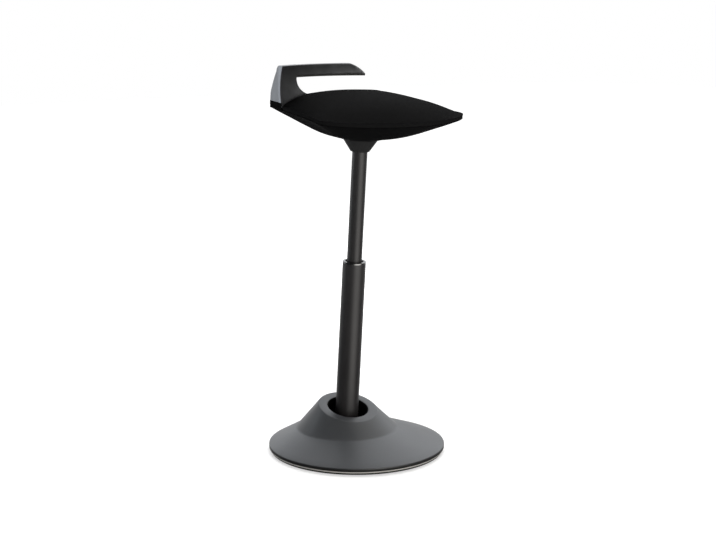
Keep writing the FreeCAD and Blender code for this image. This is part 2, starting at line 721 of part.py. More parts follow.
LEVER_UNDER = f"{SPIDER_TOP} + dims.lever_lift"
PIVOT_ALONG = f"{LEVER_UNDER} + dims.lever_thickness"
ear_sketch = new_sketch(carrier, "ear_sides", "XY_Plane", "dims.spider_foot")
for side in ("", "-"):
    near = f"{side}(dims.lever_width / 2 + dims.loose_gap)"
    far = f"{side}(dims.lever_width / 2 + dims.loose_gap + dims.ear_thickness)"
    polygon(ear_sketch, [("dims.lever_pivot - dims.lever_thickness", near),
                         ("dims.lever_pivot + dims.lever_thickness", near),
                         ("dims.lever_pivot + dims.lever_thickness", far),
                         ("dims.lever_pivot - dims.lever_thickness", far)])
ear_pad = carrier.newObject("PartDesign::Pad", "ear_pad")
ear_pad.Profile = ear_sketch
bind(ear_pad, Length=f"{PIVOT_ALONG} - dims.spider_foot + dims.lever_pin_radius * 2")
ear_hole = new_sketch(carrier, "ear_hole", "XZ_Plane")
circle(ear_hole, "dims.lever_pivot", PIVOT_ALONG, "dims.lever_pin_radius + dims.fit_gap")
ear_cut = carrier.newObject("PartDesign::Pocket", "ear_cut")
ear_cut.Profile = ear_hole
ear_cut.Type = "ThroughAll"
ear_cut.SideType = "Symmetric"

drill(carrier, "tube_bore", [("0", "0")], "dims.upper_radius + dims.fit_gap")
drill(carrier, "board_screw_bores", post_places, "dims.board_screw_radius + dims.fit_gap")
counterbore(carrier, "board_screw_heads", post_places, "dims.board_screw_head + dims.fit_gap",
            "dims.spider_foot", "dims.head_depth")
drill(carrier, "push_post_hole", [("dims.lever_reach - dims.push_post_radius", "0")],
      "dims.push_post_radius + dims.release_gap")
guide_places = [(f"dims.guide_circle * cos({angle})", f"dims.guide_circle * sin({angle})")
                for angle in (60, 180, 300)]
drill(carrier, "guide_pin_bores", guide_places, "dims.guide_pin_radius + dims.fit_gap")
on_column(carrier)


# Seat outline in the rim plane: x is the sitter's left, y is the sitter's back

HALF_TURN = math.sin(math.radians(45))


def outline(scale, along, roundness=0.0, circle_size="hull_round_radius"):
    """The seat's outline as ten arcs, scaled about the column's axis and drawn to a circle."""
    def at(side, reach):
        stretch = size(circle_size) / math.hypot(side, reach)
        share = scale * (1.0 - roundness + roundness * stretch)
        return Vector(side * share, -reach * share, along)

    def half(sign):
        turn = (sign * size("front_turn_side"), size("front_turn_reach"))
        tip = (sign * size("tip_side"), size("tip_reach"))
        hip = (sign * size("hip_side"), size("hip_reach"))
        rear = (sign * size("rear_side"), size("rear_reach"))
        corner = (sign * (size("rear_side") - size("rear_corner")),
                  size("rear_reach") - size("rear_corner"))
        shoulder = ((turn[0] + tip[0]) / 2 + sign * size("shoulder_out"),
                    (turn[1] + tip[1]) / 2 + size("shoulder_forward"))
        knuckle = (sign * (size("rear_side") - size("rear_corner") * (1 - HALF_TURN)),
                   size("rear_reach") - size("rear_corner") * HALF_TURN)
        return turn, shoulder, tip, (sign * size("widest_side"), size("widest_reach")), hip, \
            (sign * size("waist_side"), 0), rear, knuckle, corner

    left = half(1)
    right = half(-1)
    front = (0, size("front_reach"))
    back = (0, size("rear_reach") - size("rear_corner") - size("rear_bow"))
    run = [left[0], left[1], left[2], left[3], left[4], left[5], left[6], left[7], left[8], back,
           right[8], right[7], right[6], right[5], right[4], right[3], right[2], right[1],
           right[0], front, left[0]]
    edges = []
    for k in range(0, len(run) - 1, 2):
        edges.append(Part.Arc(at(*run[k]), at(*run[k + 1]), at(*run[k + 2])).toShape())
    return Part.Wire(edges)


def stack(levels):
    """A closed solid lofted through outlines, each given as outline() takes it."""
    solid = Part.makeLoft([outline(*level) for level in levels], True, False)
    if solid.Volume < 0:
        solid.reverse()
    return solid


rim = size("rim_along")
skirt = size("pad_skirt")
hull_bottom = rim - size("hull_depth")
margin = size("tool_margin")
HULL_STATIONS = [(0.90, 0.17), (0.787, 0.35), (0.658, 0.555), (0.522, 0.74), (0.386, 0.86),
                 (0.283, 0.945)]


def hull(inset, lift):
    """The boat-shaped hull; inset narrows it and lift raises it."""
    depth = size("hull_depth") - skirt
    levels = [(size("hull_bottom_scale") - inset, hull_bottom + lift, 1.0)]
    for scale, drop in reversed(HULL_STATIONS):
        levels.append((scale - inset, rim - skirt - drop * depth + lift, drop ** 2))
    levels.append((1.0 - inset, rim - skirt + lift))
    return stack(levels)


def block(x_low, x_high, y_low, y_high, z_low, z_high):
    return Part.makeBox(x_high - x_low, y_high - y_low, z_high - z_low,
                        Vector(x_low, y_low, z_low))


wall = size("hull_wall")
wall_share = wall / size("rear_side")
hull_outer = hull(0.0, 0.0)
hull_hollow = hull(wall_share, wall)
ledge_open = stack([(size("ledge_inset"), rim - skirt - wall * 2), (size("ledge_inset"), rim)])
ledge = hull_outer.common(block(-size("disc_radius"), size("disc_radius"), -size("disc_radius") * 2,
                                size("disc_radius"), rim - skirt - wall, rim)).cut(ledge_open)
release_open = Part.makeCylinder(size("release_radius") + size("release_gap"), size("hull_depth"),
                                 Vector(0, 0, hull_bottom - margin))
rim_prism = stack([(1.0, rim - skirt - wall), (1.0, rim - size("leg_step"))])
leg_inner_edge = -size("leg_inner")
foot_zone = block(-size("disc_radius"), leg_inner_edge, -size("leg_front"), size("disc_radius"),
                  rim - skirt - size("plinth_sink"), rim - size("leg_step"))
shell_bosses = []
boss_points = [(side * size("front_boss_side"), -size("front_boss_reach")) for side in (1, -1)]
boss_points += [(side * size("rear_boss_side"), -size("rear_boss_reach")) for side in (1, -1)]
for x, y in boss_points:
    post = Part.makeCylinder(size("shell_boss_radius"), size("hull_depth"), Vector(x, y, hull_bottom))
    shell_bosses.append(post.common(hull_outer))
shell_shape = hull_outer.cut(hull_hollow).fuse([ledge, rim_prism.common(foot_zone)])
shell_shape = shell_shape.fuse(shell_bosses).cut(release_open)


def surface_below(shape, x, y):
    """The lowest point of a shape on a line parallel to the column."""
    probe = Part.makeLine(Vector(x, y, hull_bottom - margin), Vector(x, y, rim))
    return probe.common(shape).BoundBox.ZMin


board_low = rim - skirt
screw_tools = []
shell_screw_places = []
for x, y in boss_points:
    seat_level = surface_below(hull_outer, x, y) + size("board_screw_head") * 2
    screw_tools.append(Part.makeCylinder(size("board_screw_radius") + size("fit_gap"),
                                         size("hull_depth"), Vector(x, y, hull_bottom)))
    screw_tools.append(Part.makeCylinder(size("board_screw_head") + size("fit_gap"),
                                         seat_level - hull_bottom, Vector(x, y, hull_bottom)))
    shell_screw_places.append((x, y, seat_level))
handle_screw_points = [(-size("handle_screw_side"), -size("handle_screw_front")),
                       (-size("handle_screw_side"), -size("handle_screw_rear"))]
handle_screw_places = []
for x, y in handle_screw_points:
    seat_level = surface_below(hull_outer, x, y) + size("head_depth") * 1.6
    screw_tools.append(Part.makeCylinder(size("board_screw_radius") + size("fit_gap"),
                                         size("hull_depth"), Vector(x, y, hull_bottom)))
    screw_tools.append(Part.makeCylinder(size("board_screw_head") + size("fit_gap"),
                                         seat_level - hull_bottom, Vector(x, y, hull_bottom)))
    handle_screw_places.append((x, y, seat_level))
seat_shell = shape_piece("seat_shell", shell_shape.cut(screw_tools), COLUMN)

shell_screw_shapes = []
for x, y, level in shell_screw_places:
    length = board_low + size("screw_bite") - level
    bolt = screw(size("board_screw_radius"), length, size("board_screw_head"), size("head_depth"))
    bolt.Placement = Placement(Vector(x, y, level), Rotation())
    shell_screw_shapes.append(bolt)
shell_screws = shape_piece("shell_screws", Part.makeCompound(shell_screw_shapes), COLUMN)

# Board under the pad, notched for the handle's foot

notch = block(-size("disc_radius") * 2, leg_inner_edge + size("leg_flare") + size("loose_gap"),
              -size("leg_front") - size("loose_gap"), size("disc_radius") * 2,
              board_low - size("hull_wall"), rim + size("band_top"))
board_shape = stack([(size("board_inset"), board_low),
                     (size("board_inset"), board_low + size("board_thickness"))])
post_points = [(side * size("front_post_side"), -size("front_post_reach")) for side in (1, -1)]
post_points += [(side * size("rear_post_side"), -size("rear_post_reach")) for side in (-1, 1)]
board_holes = [Part.makeCylinder(size("board_screw_radius") + size("fit_gap"), size("screw_bite"),
                                 Vector(x, y, board_low))
               for x, y in post_points + boss_points]
board_body = board_shape.cut(notch)
seat_board = shape_piece("seat_board", board_body.cut(board_holes), COLUMN)

board_screws = group(
    "board_screws",
    screw(size("board_screw_radius"),
          board_low + size("screw_bite") - size("spider_foot") - size("head_depth"),
          size("board_screw_head"), size("head_depth")),
    [Placement(Vector(x, y, size("spider_foot") + size("head_depth")), Rotation())
     for x, y in post_points], COLUMN)

# Pad: a crown that is full in the middle and drawn in below its edge

PAD_RINGS = [1.0, 0.985, 0.96, 0.92, 0.86, 0.78, 0.68, 0.55, 0.4, 0.22]
pad_levels = [(size("pad_tuck"), board_low)]
for ring in PAD_RINGS:
    height = size("pad_crown") * (1.0 - ring ** size("pad_fullness"))
    pad_levels.append((ring, rim + height, (1.0 - ring) ** size("pad_rounding"),
                       "pad_round_radius"))
pad_blank = stack(pad_levels)
pad_shape = pad_blank.cut(board_shape).cut(notch)
seat_pad = shape_piece("seat_pad", pad_shape, COLUMN)


# Release ring with its bosses and push post, its pins and springs

RELEASE_INNER = "dims.rim_along - dims.hull_depth"
RELEASE_OUTER = "dims.rim_along - dims.hull_depth + dims.release_rise"
release = turned("release_ring", [
    ("dims.release_bore", RELEASE_INNER),
    ("dims.hull_bottom_scale * dims.hull_round_radius", RELEASE_INNER),
    ("dims.release_radius", RELEASE_OUTER),
    ("dims.release_radius", f"{RELEASE_OUTER} + dims.release_thickness"),
    ("dims.hull_bottom_scale * dims.hull_round_radius",
     f"{RELEASE_INNER} + dims.release_thickness"),
    ("dims.release_bore", f"{RELEASE_INNER} + dims.release_thickness")])
BOSS_TOP = f"{RELEASE_OUTER} + dims.release_thickness"
ring_boss = new_sketch(release, "guide_bosses", "XY_Plane", BOSS_TOP)
for across, up in guide_places:
    circle(ring_boss, across, up, "dims.guide_boss_radius")
ring_boss_pad = release.newObject("PartDesign::Pad", "guide_boss_pad")
ring_boss_pad.Profile = ring_boss
ring_boss_pad.Reversed = True
bind(ring_boss_pad, Length="dims.release_thickness * 2")
PUSH_TOP = f"{LEVER_UNDER} - dims.face_gap"
push = new_sketch(release, "push_post", "XY_Plane", f"{RELEASE_INNER} + dims.release_thickness")
circle(push, "dims.lever_reach - dims.push_post_radius", "0", "dims.push_post_radius")
push_pad = release.newObject("PartDesign::Pad", "push_pad")
push_pad.Profile = push
bind(push_pad, Length=f"{PUSH_TOP} - ({RELEASE_INNER}) - dims.release_thickness")
drill(release, "guide_bores", guide_places, "dims.guide_pin_radius + dims.fit_gap")
counterbore(release, "guide_heads", guide_places, "dims.guide_pin_head + dims.fit_gap",
            f"{RELEASE_INNER} - dims.release_thickness",
            f"{BOSS_TOP} - ({RELEASE_INNER})")
on_column(release)

boss_top = hull_bottom + size("release_rise") + size("release_thickness")
head_seat = boss_top - size("release_thickness")
pin_head_height = size("head_depth") * 0.8
guide_pin = screw(size("guide_pin_radius"),
                  size("spider_foot") + size("spider_thickness") - head_seat + size("face_gap"),
                  size("guide_pin_head"), pin_head_height)
guide_spots = [Vector(size("guide_circle") * math.cos(math.radians(angle)),
                      size("guide_circle") * math.sin(math.radians(angle)), 0)
               for angle in (60, 180, 300)]
guide_pins = group("guide_pins", guide_pin,
                   [Placement(spot + Vector(0, 0, head_seat - size("face_gap")), Rotation())
                    for spot in guide_spots], COLUMN)
spring_height = size("spider_foot") - boss_top
coil = Part.makeCylinder(size("spring_radius"), spring_height - 2 * size("fit_gap"))
coil = coil.cut(Part.makeCylinder(size("spring_radius") - size("spring_wire"), spring_height))
return_springs = group("return_springs", coil,
                       [Placement(spot + Vector(0, 0, boss_top + size("fit_gap")), Rotation())
                        for spot in guide_spots], COLUMN)

# Lever: the ring's post lifts its outer end and its nose presses the valve pin

LEVER_LOW = "dims.upper_top + dims.valve_pin_height + dims.face_gap"
lever = new_body("release_lever")
lever_sketch = new_sketch(lever, "lever_side", "XZ_Plane")
polygon(lever_sketch, [
    ("-dims.valve_bore", LEVER_LOW),
    ("dims.valve_bore", LEVER_LOW),
    ("dims.lever_pivot - dims.lever_thickness", LEVER_UNDER),
    ("dims.lever_reach", LEVER_UNDER),
    ("dims.lever_reach", f"{LEVER_UNDER} + dims.lever_thickness"),
    ("dims.lever_pivot + dims.lever_thickness", f"{PIVOT_ALONG} + dims.lever_thickness"),
    ("dims.lever_pivot - dims.lever_thickness", f"{PIVOT_ALONG} + dims.lever_thickness"),
    ("-dims.valve_bore", f"{LEVER_LOW} + dims.lever_thickness")])
lever_pad = lever.newObject("PartDesign::Pad", "lever_pad")
lever_pad.Profile = lever_sketch
lever_pad.SideType = "Symmetric"
bind(lever_pad, Length="dims.lever_width")
lever_hole = new_sketch(lever, "lever_hole", "XZ_Plane")
circle(lever_hole, "dims.lever_pivot", PIVOT_ALONG, "dims.lever_pin_radius + dims.fit_gap")
lever_cut = lever.newObject("PartDesign::Pocket", "lever_cut")
lever_cut.Profile = lever_hole
lever_cut.Type = "ThroughAll"
lever_cut.SideType = "Symmetric"
on_column(lever)

lever_pin = new_body("lever_pin")
pin_sketch = new_sketch(lever_pin, "pin_circle", "XZ_Plane")
circle(pin_sketch, "dims.lever_pivot", PIVOT_ALONG, "dims.lever_pin_radius")
pin_pad = lever_pin.newObject("PartDesign::Pad", "pin_pad")
pin_pad.Profile = pin_sketch
pin_pad.SideType = "Symmetric"
bind(pin_pad, Length="dims.lever_width + 2 * dims.loose_gap + 2 * dims.ear_thickness")
on_column(lever_pin)


# Handle: one profile carried along the band's plan curve, cut to a leg and a band that ends free

def seat_point(side, reach, up):
    return Vector(side, -reach, rim + up)


def arc(a, b, c):
    return Part.Arc(a, b, c).toShape()


def line(a, b):
    return Part.makeLine(a, b)


def circle_reach(low, middle, high):
    """The reach of the circle through three (along, reach) points, as a function of along."""
    curve = arc(*[Vector(along, reach, 0) for along, reach in (low, middle, high)]).Curve

    def reach_at(along):
        return curve.Center.y - math.sqrt(curve.Radius ** 2 - (along - curve.Center.x) ** 2)
    return reach_at


leg_foot = -size("leg_step")
outer_side = -size("leg_outer")
tip = size("band_tip_side")
grip_top = size("band_low") + size("grip_height")
above_band = size("band_top") + margin
plan_reach = circle_reach((outer_side, size("band_left_reach")),
                          ((outer_side + tip) / 2, size("band_middle_reach")),
                          (tip, size("band_right_reach")))
front_reach = circle_reach((leg_foot, size("leg_front")),
                           (size("leg_front_bow_up"), size("leg_front") - size("leg_front_bow")),
                           (size("band_top"), size("band_left_reach")))
head_front = size("band_left_reach") - size("leg_head")
head_rear = head_front - size("leg_head_round")
head_low = size("band_top") - size("leg_head_round")


def handle_point(side, reach, up):
    """A point of the handle's profile, carried to a side along the plan curve."""
    return seat_point(side, reach + plan_reach(side) - plan_reach(outer_side), up)


def handle_profile(side):
    def at(reach, up):
        return handle_point(side, reach, up)

    return Part.Wire([
        line(at(size("leg_rear"), leg_foot), at(size("leg_front"), leg_foot)),
        arc(at(size("leg_front"), leg_foot),
            at(size("leg_front") - size("leg_front_bow"), size("leg_front_bow_up")),
            at(size("band_left_reach"), size("band_top"))),
        line(at(size("band_left_reach"), size("band_top")), at(head_front, size("band_top"))),
        arc(at(head_front, size("band_top")),
            at(head_front - size("leg_head_round") * HALF_TURN,
               size("band_top") - size("leg_head_round") * (1 - HALF_TURN)),
            at(head_rear, head_low)),
        arc(at(head_rear, head_low),
            at(size("leg_rear") + size("leg_rear_bow"), size("leg_rear_bow_up")),
            at(size("leg_rear"), leg_foot))])


def band_profile(side, low, high, forward):
    """The band's section between two heights, reaching forward of its face."""
    middle = (low + high) / 2
    back = size("band_thickness")
    return Part.Wire([
        line(handle_point(side, front_reach(low) + forward, low),
             handle_point(side, front_reach(high) + forward, high)),
        line(handle_point(side, front_reach(high) + forward, high),
             handle_point(side, front_reach(high) - back, high)),
        arc(handle_point(side, front_reach(high) - back, high),
            handle_point(side, front_reach(middle) - back, middle),
            handle_point(side, front_reach(low) - back, low)),
        line(handle_point(side, front_reach(low) - back, low),
             handle_point(side, front_reach(low) + forward, low))])


def swept(profile, start, end):
    """A solid through a profile set at five sides along the plan curve."""
    return Part.makeLoft([profile(start + (end - start) * k / 4) for k in range(5)], True, False)


inner = leg_inner_edge
leg_edge = inner + size("leg_flare")
beyond_tip = tip + margin * 2
flare_points = [seat_point(leg_edge, 0, size("flare_foot_up")),
                seat_point(inner + size("flare_middle_in"), 0, size("flare_middle_up")),
                seat_point(inner, 0, size("flare_top_up"))]
opening = Part.Wire([
    arc(*flare_points),
    line(flare_points[2], seat_point(inner, 0, above_band)),
    line(seat_point(inner, 0, above_band), seat_point(beyond_tip, 0, above_band)),
    line(seat_point(beyond_tip, 0, above_band), seat_point(beyond_tip, 0, leg_foot - margin)),
    line(seat_point(beyond_tip, 0, leg_foot - margin), seat_point(leg_edge, 0, leg_foot - margin)),
    line(seat_point(leg_edge, 0, leg_foot - margin), flare_points[0])])
kept_band = swept(lambda side: band_profile(side, grip_top, above_band, margin * 4),
                  inner - margin * 2, beyond_tip + margin)
opening_cut = Part.Face(opening).extrude(Vector(0, size("disc_radius"), 0)).cut(kept_band)

tip_curve = [seat_point(tip - size("band_tip_round_side"), 0, size("band_top")),
             seat_point(tip - size("band_tip_middle_side"), 0,
                        size("band_top") - size("band_tip_middle_drop")),
             seat_point(tip, 0, grip_top)]
tip_wire = Part.Wire([
    arc(*tip_curve),
    line(tip_curve[2], seat_point(tip, 0, grip_top - margin)),
    line(seat_point(tip, 0, grip_top - margin), seat_point(beyond_tip, 0, grip_top - margin)),
    line(seat_point(beyond_tip, 0, grip_top - margin), seat_point(beyond_tip, 0, above_band)),
    line(seat_point(beyond_tip, 0, above_band),
         seat_point(tip - size("band_tip_round_side"), 0, above_band)),
    line(seat_point(tip - size("band_tip_round_side"), 0, above_band), tip_curve[0])])
tip_cut = Part.Face(tip_wire).extrude(Vector(0, size("disc_radius"), 0))
outer_prism = stack([(1.0, rim - skirt), (1.0, rim + above_band)])
handle_blank = swept(handle_profile, outer_side - margin, tip + margin)
handle_shape = handle_blank.cut([opening_cut, tip_cut]).common(outer_prism)
handle_bores = [Part.makeCylinder(size("board_screw_radius") + size("fit_gap"),
                                  size("handle_screw_bite") + margin + skirt,
                                  Vector(x, y, rim - skirt))
                for x, y in handle_screw_points]
handle = shape_piece("handle", handle_shape.cut(handle_bores), COLUMN)
grip = swept(lambda side: band_profile(side, size("band_low"), grip_top, 0.0),
             inner + size("fit_gap"), tip)
grip_strip = shape_piece("grip_strip", grip, COLUMN)

handle_screw_shapes = []
for x, y, level in handle_screw_places:
    bolt = screw(size("board_screw_radius"), rim + size("handle_screw_bite") - level,
                 size("board_screw_head"), size("head_depth"))
    bolt.Placement = Placement(Vector(x, y, level), Rotation())
    handle_screw_shapes.append(bolt)
handle_screws = shape_piece("handle_screws", Part.makeCompound(handle_screw_shapes), COLUMN)


# Check every object, then write each sub-part

doc.recompute()

PIECES = [sole, edge_ring, plate, base_cover, collar_liner, cover_screws, joint_housing,
          retaining_ring, housing_bolts, flex_bush, ball_foot, tube_plug, nut, lower_tube,
          tube_rim, guide_bush, bearing_plate, thrust_bearing, piston_rod, rod_clip, piston,
          piston_seal, upper_tube, rod_guide, valve_body, valve_pin, funnel_cover, carrier,
          seat_shell, shell_screws, seat_board, board_screws, seat_pad, release, guide_pins,
          return_springs, lever, lever_pin, handle, grip_strip, handle_screws]

for thing in doc.Objects:
    faults = [state for state in thing.State if state in ("Invalid", "Error")]
    if faults:
        raise RuntimeError(f"{thing.Label} did not recompute: {faults}")
for piece in PIECES:
    if piece.Shape.isNull() or not piece.Shape.isValid():
        raise RuntimeError(f"{piece.Label} has no valid shape")

os.makedirs("parts", exist_ok=True)
for piece in PIECES:
    piece.Shape.exportStep(f"parts/{piece.Label}.step")
    print(f"{piece.Label}: {len(piece.Shape.Solids)} solids, {piece.Shape.Volume / 1000:.2f} cm3")
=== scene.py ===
"""Looks for the perch stool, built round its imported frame, in metres and in the frame's axes."""
import math

import bmesh
import bpy
from mathutils import Matrix, Vector


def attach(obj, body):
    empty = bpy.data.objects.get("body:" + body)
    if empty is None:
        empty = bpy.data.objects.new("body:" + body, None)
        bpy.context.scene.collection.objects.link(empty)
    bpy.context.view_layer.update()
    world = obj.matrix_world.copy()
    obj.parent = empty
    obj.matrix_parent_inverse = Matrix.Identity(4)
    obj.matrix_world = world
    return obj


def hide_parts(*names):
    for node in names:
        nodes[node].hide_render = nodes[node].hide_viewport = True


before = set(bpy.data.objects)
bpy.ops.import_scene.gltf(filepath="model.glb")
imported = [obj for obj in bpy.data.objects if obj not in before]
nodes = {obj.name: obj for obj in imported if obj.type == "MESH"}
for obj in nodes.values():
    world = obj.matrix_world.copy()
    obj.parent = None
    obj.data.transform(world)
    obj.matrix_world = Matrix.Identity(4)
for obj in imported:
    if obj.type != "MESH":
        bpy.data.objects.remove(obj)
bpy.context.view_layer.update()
MM = 0.001

# Camera at the photograph's viewing angle

EYE = Vector((-1.64821, -2.41744, 0.93156))
AHEAD = Vector((0.55413027, 0.81102807, -0.18754495))
RIGHT = Vector((0.8256789, -0.56414037, 0.0))
ABOVE = Vector((0.10580168, 0.15485191, 0.98225602))
camera = bpy.data.objects.new("camera", bpy.data.cameras.new("camera"))
camera.data.sensor_width = 36.0
camera.data.lens = 74.24
camera.data.clip_end = 100.0
camera.matrix_world = Matrix.Translation(EYE) @ Matrix((RIGHT, ABOVE, -AHEAD)).transposed().to_4x4()
bpy.context.scene.collection.objects.link(camera)
bpy.context.scene.camera = camera

# The column's frame: x to the sitter's left, y to the sitter's back, z along the column

LEAN = math.radians(5.02)
COLUMN = Matrix.Translation((0, 0.0422, 0)) @ Matrix.Rotation(LEAN, 4, "X")
RIM = 702.0 * MM


def seat_point(side, reach, up):
    """A point from millimetres on the seat: side, reach to the front and height above the rim."""
    return COLUMN @ Vector((side * MM, -reach * MM, RIM + up * MM))


# Materials

def new_material(name, colour, roughness, metallic=0.0, **sockets):
    material = bpy.data.materials.new(name)
    material.use_nodes = True
    shader = material.node_tree.nodes["Principled BSDF"]
    shader.inputs["Base Color"].default_value = (*colour, 1.0)
    shader.inputs["Roughness"].default_value = roughness
    shader.inputs["Metallic"].default_value = metallic
    for socket, value in sockets.items():
        shader.inputs[socket.replace("_", " ")].default_value = value
    return material


def add_node(material, kind, **settings):
    node = material.node_tree.nodes.new(kind)
    for name, value in settings.items():
        if name in node.inputs:
            node.inputs[name].default_value = value
        else:
            setattr(node, name, value)
    return node


def connect(material, out_node, out_name, in_node, in_name):
    material.node_tree.links.new(out_node.outputs[out_name], in_node.inputs[in_name])


def place(material, scale=(1, 1, 1)):
    """Object coordinates, stretched."""
    source = add_node(material, "ShaderNodeTexCoord")
    mapping = add_node(material, "ShaderNodeMapping", Scale=scale)
    connect(material, source, "Object", mapping, "Vector")
    return mapping


def noise(material, scale, detail=2.0, stretch=(1, 1, 1)):
    texture = add_node(material, "ShaderNodeTexNoise", Scale=scale, Detail=detail)
    connect(material, place(material, stretch), "Vector", texture, "Vector")
    return texture


def ramp(material, source, stops, output="Fac"):
    node = add_node(material, "ShaderNodeValToRGB")
    elements = node.color_ramp.elements
    while len(elements) < len(stops):
        elements.new(0.5)
    for element, (position, colour) in zip(elements, stops):
        element.position = position
        element.color = (*colour, 1.0)
    connect(material, source, output, node, "Fac")
    return node


def vary_colour(material, low, high, scale, stretch=(1, 1, 1)):
    """Slow colour variation between two shades."""
    shader = material.node_tree.nodes["Principled BSDF"]
    shades = ramp(material, noise(material, scale, 3.0, stretch), [(0.35, low), (0.65, high)])
    connect(material, shades, "Color", shader, "Base Color")
    return shades


def vary_roughness(material, low, high, scale, stretch=(1, 1, 1)):
    shader = material.node_tree.nodes["Principled BSDF"]
    spread = add_node(material, "ShaderNodeMapRange")
    spread.inputs["To Min"].default_value = low
    spread.inputs["To Max"].default_value = high
    connect(material, noise(material, scale, 4.0, stretch), "Fac", spread, "Value")
    connect(material, spread, "Result", shader, "Roughness")


def bump(material, source, output, strength, distance):
    shader = material.node_tree.nodes["Principled BSDF"]
    relief = add_node(material, "ShaderNodeBump", Strength=strength, Distance=distance)
    earlier = shader.inputs["Normal"].links
    if earlier:
        material.node_tree.links.new(earlier[0].from_socket, relief.inputs["Normal"])
    connect(material, source, output, relief, "Height")
    connect(material, relief, "Normal", shader, "Normal")


def grain(material, scale, strength, distance, detail=3.0, stretch=(1, 1, 1)):
    bump(material, noise(material, scale, detail, stretch), "Fac", strength, distance)


def moulded(name, low, high, roughness, grain_scale=900.0, grain_strength=0.12):
    material = new_material(name, high, roughness)
    vary_colour(material, low, high, 6.0)
    vary_roughness(material, roughness - 0.05, roughness + 0.07, 14.0)
    grain(material, grain_scale, grain_strength, 0.0004)
    return material


def metal(name, colour, roughness, stretch=(1, 1, 1), scale=60.0):
    material = new_material(name, colour, roughness, 1.0)
    vary_colour(material, tuple(c * 0.9 for c in colour), colour, scale / 4, stretch)
    vary_roughness(material, roughness - 0.06, roughness + 0.08, scale, stretch)
    grain(material, scale * 8, 0.05, 0.0002, 2.0, stretch)
    return material


cover_grey = moulded("cover_grey", (0.052, 0.055, 0.059), (0.058, 0.061, 0.065), 0.36)
# Painted shade: a darker copy of the cover's grey for the side wall, which turns away from the light
painted_side_shade = moulded("painted_side_shade", (0.010, 0.010, 0.010), (0.016, 0.016, 0.015), 0.45)
liner_black = moulded("liner_black", (0.004, 0.004, 0.004), (0.006, 0.006, 0.006), 0.55)
shell_black = moulded("shell_black", (0.0030, 0.0030, 0.0031), (0.0042, 0.0042, 0.0044), 0.75)
for plastic in (shell_black, liner_black):
    plastic.node_tree.nodes["Principled BSDF"].inputs["Specular IOR Level"].default_value = 0.02
funnel_black = moulded("funnel_black", (0.012, 0.012, 0.012), (0.016, 0.016, 0.016), 0.45)
guide_black = moulded("guide_black", (0.012, 0.012, 0.013), (0.018, 0.018, 0.019), 0.5)
sole_rubber = moulded("sole_rubber", (0.018, 0.018, 0.018), (0.028, 0.028, 0.028), 0.8, 500.0, 0.3)
grip_rubber = moulded("grip_rubber", (0.006, 0.006, 0.006), (0.010, 0.010, 0.010), 0.6, 1400.0, 0.2)
elastomer = moulded("elastomer", (0.02, 0.02, 0.02), (0.03, 0.03, 0.03), 0.7, 700.0, 0.2)
steel = metal("steel", (0.50, 0.51, 0.52), 0.34)
black_steel = metal("black_steel", (0.030, 0.030, 0.032), 0.45)
ballast = moulded("ballast", (0.02, 0.02, 0.022), (0.03, 0.03, 0.033), 0.5, 300.0, 0.3)
trim_light = moulded("trim_light", (0.40, 0.39, 0.36), (0.47, 0.46, 0.43), 0.35, 600.0, 0.08)
rim_bright = metal("rim_bright", (0.30, 0.30, 0.30), 0.22)
handle_metal = metal("handle_metal", (0.255, 0.262, 0.275), 0.34)
handle_metal.node_tree.nodes["Principled BSDF"].inputs["Metallic"].default_value = 0.96
board_wood = new_material("board_wood", (0.45, 0.30, 0.16), 0.65)
vary_colour(board_wood, (0.36, 0.23, 0.12), (0.52, 0.36, 0.20), 30.0, (1, 12, 12))
grain(board_wood, 400.0, 0.2, 0.0004, 4.0, (1, 10, 10))

tube_black = new_material("tube_black", (0.024, 0.023, 0.023), 0.39)
vary_colour(tube_black, (0.019, 0.018, 0.0185), (0.024, 0.023, 0.0235), 9.0)
vary_roughness(tube_black, 0.35, 0.43, 25.0)
grain(tube_black, 2200.0, 0.10, 0.0002)


def woven(name, low, high, pitch=0.0011):
    """Plain weave from object coordinates: two sets of threads, raised in turn."""
    material = new_material(name, high, 0.92, 0.0, Specular_IOR_Level=0.02)
    shader = material.node_tree.nodes["Principled BSDF"]
    across = add_node(material, "ShaderNodeTexWave", bands_direction="X", wave_profile="SIN",
                      Scale=math.pi / (10.0 * pitch), Distortion=0.4, Detail=1.0)
    along = add_node(material, "ShaderNodeTexWave", bands_direction="Y", wave_profile="SIN",
                     Scale=math.pi / (10.0 * pitch), Distortion=0.4, Detail=1.0)
    where = place(material)
    connect(material, where, "Vector", across, "Vector")
    connect(material, where, "Vector", along, "Vector")
    threads = add_node(material, "ShaderNodeMath", operation="MULTIPLY")
    material.node_tree.links.new(across.outputs["Fac"], threads.inputs[0])
    material.node_tree.links.new(along.outputs["Fac"], threads.inputs[1])
    shades = ramp(material, threads, [(0.0, low), (1.0, high)], "Value")
    patches = ramp(material, noise(material, 7.0, 4.0), [(0.3, (0.82,) * 3), (0.7, (1.0,) * 3)])
    blend = add_node(material, "ShaderNodeMix", data_type="RGBA", blend_type="MULTIPLY")
    blend.inputs["Factor"].default_value = 1.0
    material.node_tree.links.new(shades.outputs["Color"], blend.inputs[6])
    material.node_tree.links.new(patches.outputs["Color"], blend.inputs[7])
    material.node_tree.links.new(blend.outputs[2], shader.inputs["Base Color"])
    bump(material, threads, "Value", 0.35, 0.0004)
    grain(material, 55.0, 0.10, 0.002, 3.0)
    return material


pad_cloth = woven("pad_cloth", (0.0060, 0.0060, 0.0062), (0.0110, 0.0110, 0.0112))
piping_cloth = woven("piping_cloth", (0.006, 0.006, 0.0065), (0.010, 0.010, 0.0105), 0.0008)

